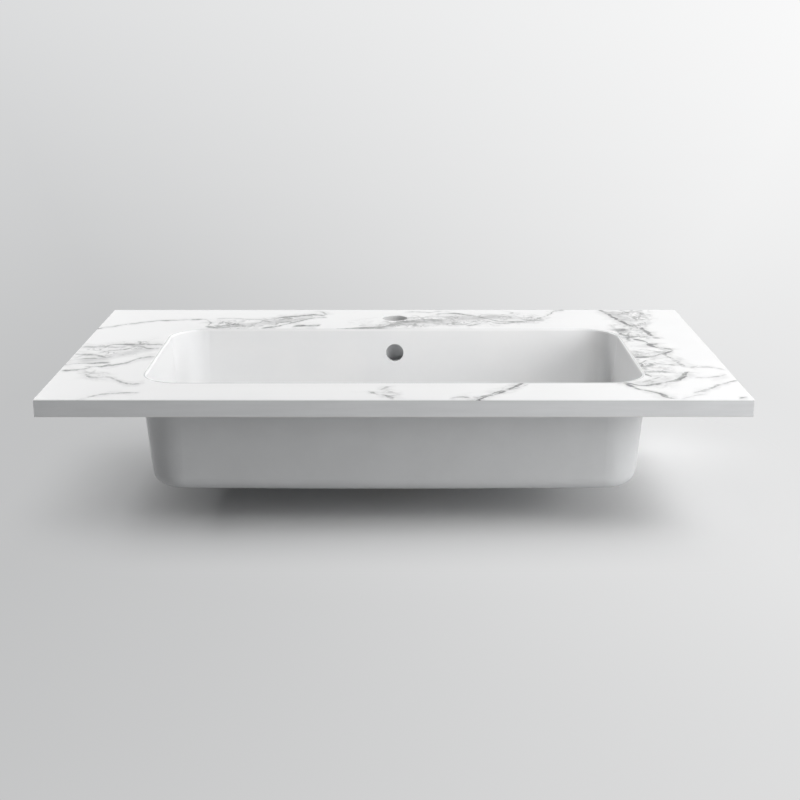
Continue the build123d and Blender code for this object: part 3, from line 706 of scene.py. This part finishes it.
# Tones on the left and on the right: of the floor round the basin, and of all that is far away.
NEAR_TONES = (grey(0.54, 0.008), grey(0.79, 0.003))
FAR_TONES = (grey(0.70, 0.008), grey(0.96, 0.001))


def to_the_right(tree, x, y, blur):
    """0 for places on the left of the studio, 1 for those on the right, and between them ahead."""
    behind = 0.5  # Behind the camera the tone changes over a wider angle than ahead.
    side = 0.29  # The sine of the angle at which it stops changing.
    flat = tree.add("ShaderNodeCombineXYZ")
    tree.put(flat.inputs["X"], x)
    tree.put(flat.inputs["Y"], tree.math("MAXIMUM", y, tree.math("MULTIPLY", y, -behind)))
    share = tree.math("DIVIDE", x, tree.math("ADD", tree.length(flat.outputs[0]), blur))
    return tree.ramp(share, -side, side, kind="LINEAR")


def studio_floor():
    """A floor that is lit and keeps its shadow near the basin, and further out is a glowing
    backdrop: painted light, which also lightens the outer part of the deck's shadow.
    """
    lit_x, lit_y = (0.025, 0.3), (-0.21, 0.11)  # The lit rectangle's middle and half size each way.
    lit_edge = 0.22  # The distance from the rectangle over which the lit floor turns into glowing backdrop, painted light over the outer part of its shadow.
    dark_start, dark_end, darkness = -0.35, -1.1, 0.1  # It darkens a little toward the camera.
    half_away = 1.2  # The distance that counts as half of the way to the horizon.
    paint = Paint("floor", {"Metallic": 0.0, "Roughness": 0.9, "Specular IOR Level": 0.1})
    x, y, _ = paint.split()
    sideways = to_the_right(paint, x, y, 1.0)
    cloud = paint.ramp(paint.noise(1.3, 2.0), *USUAL, -0.01, 0.01)
    tone = paint.mix(paint.math("ADD", sideways, cloud), *NEAR_TONES)
    tone = paint.mix(paint.ramp(y, dark_end, dark_start, darkness, 0.0), tone, grey(0.0))
    paint.colour(tone)
    away = paint.length(paint.place)
    away = paint.math("DIVIDE", away, paint.math("ADD", away, half_away))
    away = paint.ramp(away, 0.35, 0.985, kind="LINEAR")
    glow = paint.add("ShaderNodeEmission")
    paint.put(glow.inputs["Color"], paint.mix(away, tone, paint.mix(sideways, *FAR_TONES)))
    # Outside the lit rectangle the floor turns into glow: painted light that takes the place of the
    # outer part of the deck's shadow.
    square = 0.0
    for coordinate, (middle, half) in ((x, lit_x), (y, lit_y)):
        off = paint.math("ABSOLUTE", paint.math("SUBTRACT", coordinate, middle))
        off = paint.math("MAXIMUM", paint.math("SUBTRACT", off, half), 0.0)
        square = paint.math("ADD", square, paint.math("POWER", off, 2.0))
    painted_glow = paint.ramp(paint.math("SQRT", square), 0.0, lit_edge)
    blend = paint.add("ShaderNodeMixShader")
    values = (paint.math("MULTIPLY", painted_glow, paint.seen()), paint.shader.outputs[0], glow.outputs[0])
    paint.put(paint.output.inputs["Surface"], paint.filled(blend, values))
    return paint


def studio_world():
    """The far tones all round for what is seen, and a faint even light on the object."""
    faint, full = 0.06, 1.0
    world = bpy.data.worlds.new("studio")
    world.use_nodes = True
    sky = world.node_tree.nodes["Background"]
    air = Nodes(world.node_tree, "Generated")
    x, y, _ = air.split()
    seen = air.seen()
    backdrop = air.mix(to_the_right(air, x, y, 0.0), *FAR_TONES)
    air.put(sky.inputs["Color"], air.mix(seen, grey(1.0, 0.005), backdrop))
    air.put(sky.inputs["Strength"], air.ramp(seen, 0.0, 1.0, faint, full, "LINEAR"))
    return world


studio_floor().wear("floor")
bpy.context.scene.world = studio_world()


def soft_light(name, place, target, width, height, power):
    """A rectangular softbox that looks at a target."""
    light = bpy.data.lights.new(name, "AREA")
    light.shape = "RECTANGLE"
    light.size = width
    light.size_y = height
    light.energy = power
    lamp = placed(name, light)
    lamp.location = place
    aim = [target[axis] - place[axis] for axis in range(3)]
    lamp.rotation_mode = "QUATERNION"
    lamp.rotation_quaternion = Vector(aim).to_track_quat("-Z", "Y")
    return lamp


basin_middle = (0.0, -0.24, -0.05)
soft_light("sky_back_left", (-1.8, 1.6, 1.6), (-1.8, 1.6001, 0.0), 1.6, 1.6, 78.0)
soft_light("key_right", (1.0908, -1.3308, 1.7885), basin_middle, 1.2, 1.2, 17.0)
soft_light("back_right", (1.2, 0.96, 1.647), basin_middle, 1.2, 1.2, 21.5)
low_lamp = soft_light("low_right", (1.7, -1.45, 0.5), basin_middle, 1.5, 1.0, 30.0)
low_lamp.visible_glossy = False  # So low, it would mirror in the whole deck for a view from behind.

# Camera: at the photograph's place and angle.
camera_down, camera_right = 15.5175, 0.0516  # Degrees off the level and off the Y axis.
lens = bpy.data.cameras.new("camera")
lens.lens = 64.9585
lens.sensor_width = 36.0
lens.clip_start = 0.05
lens.clip_end = 5000.0
camera = placed("camera", lens)
camera.location = (0.00549, -2.0221, 0.44787)
camera.rotation_euler = (math.radians(90 - camera_down), 0.0, math.radians(-camera_right))
bpy.context.scene.camera = camera
bpy.context.scene.view_settings.view_transform = "Standard"
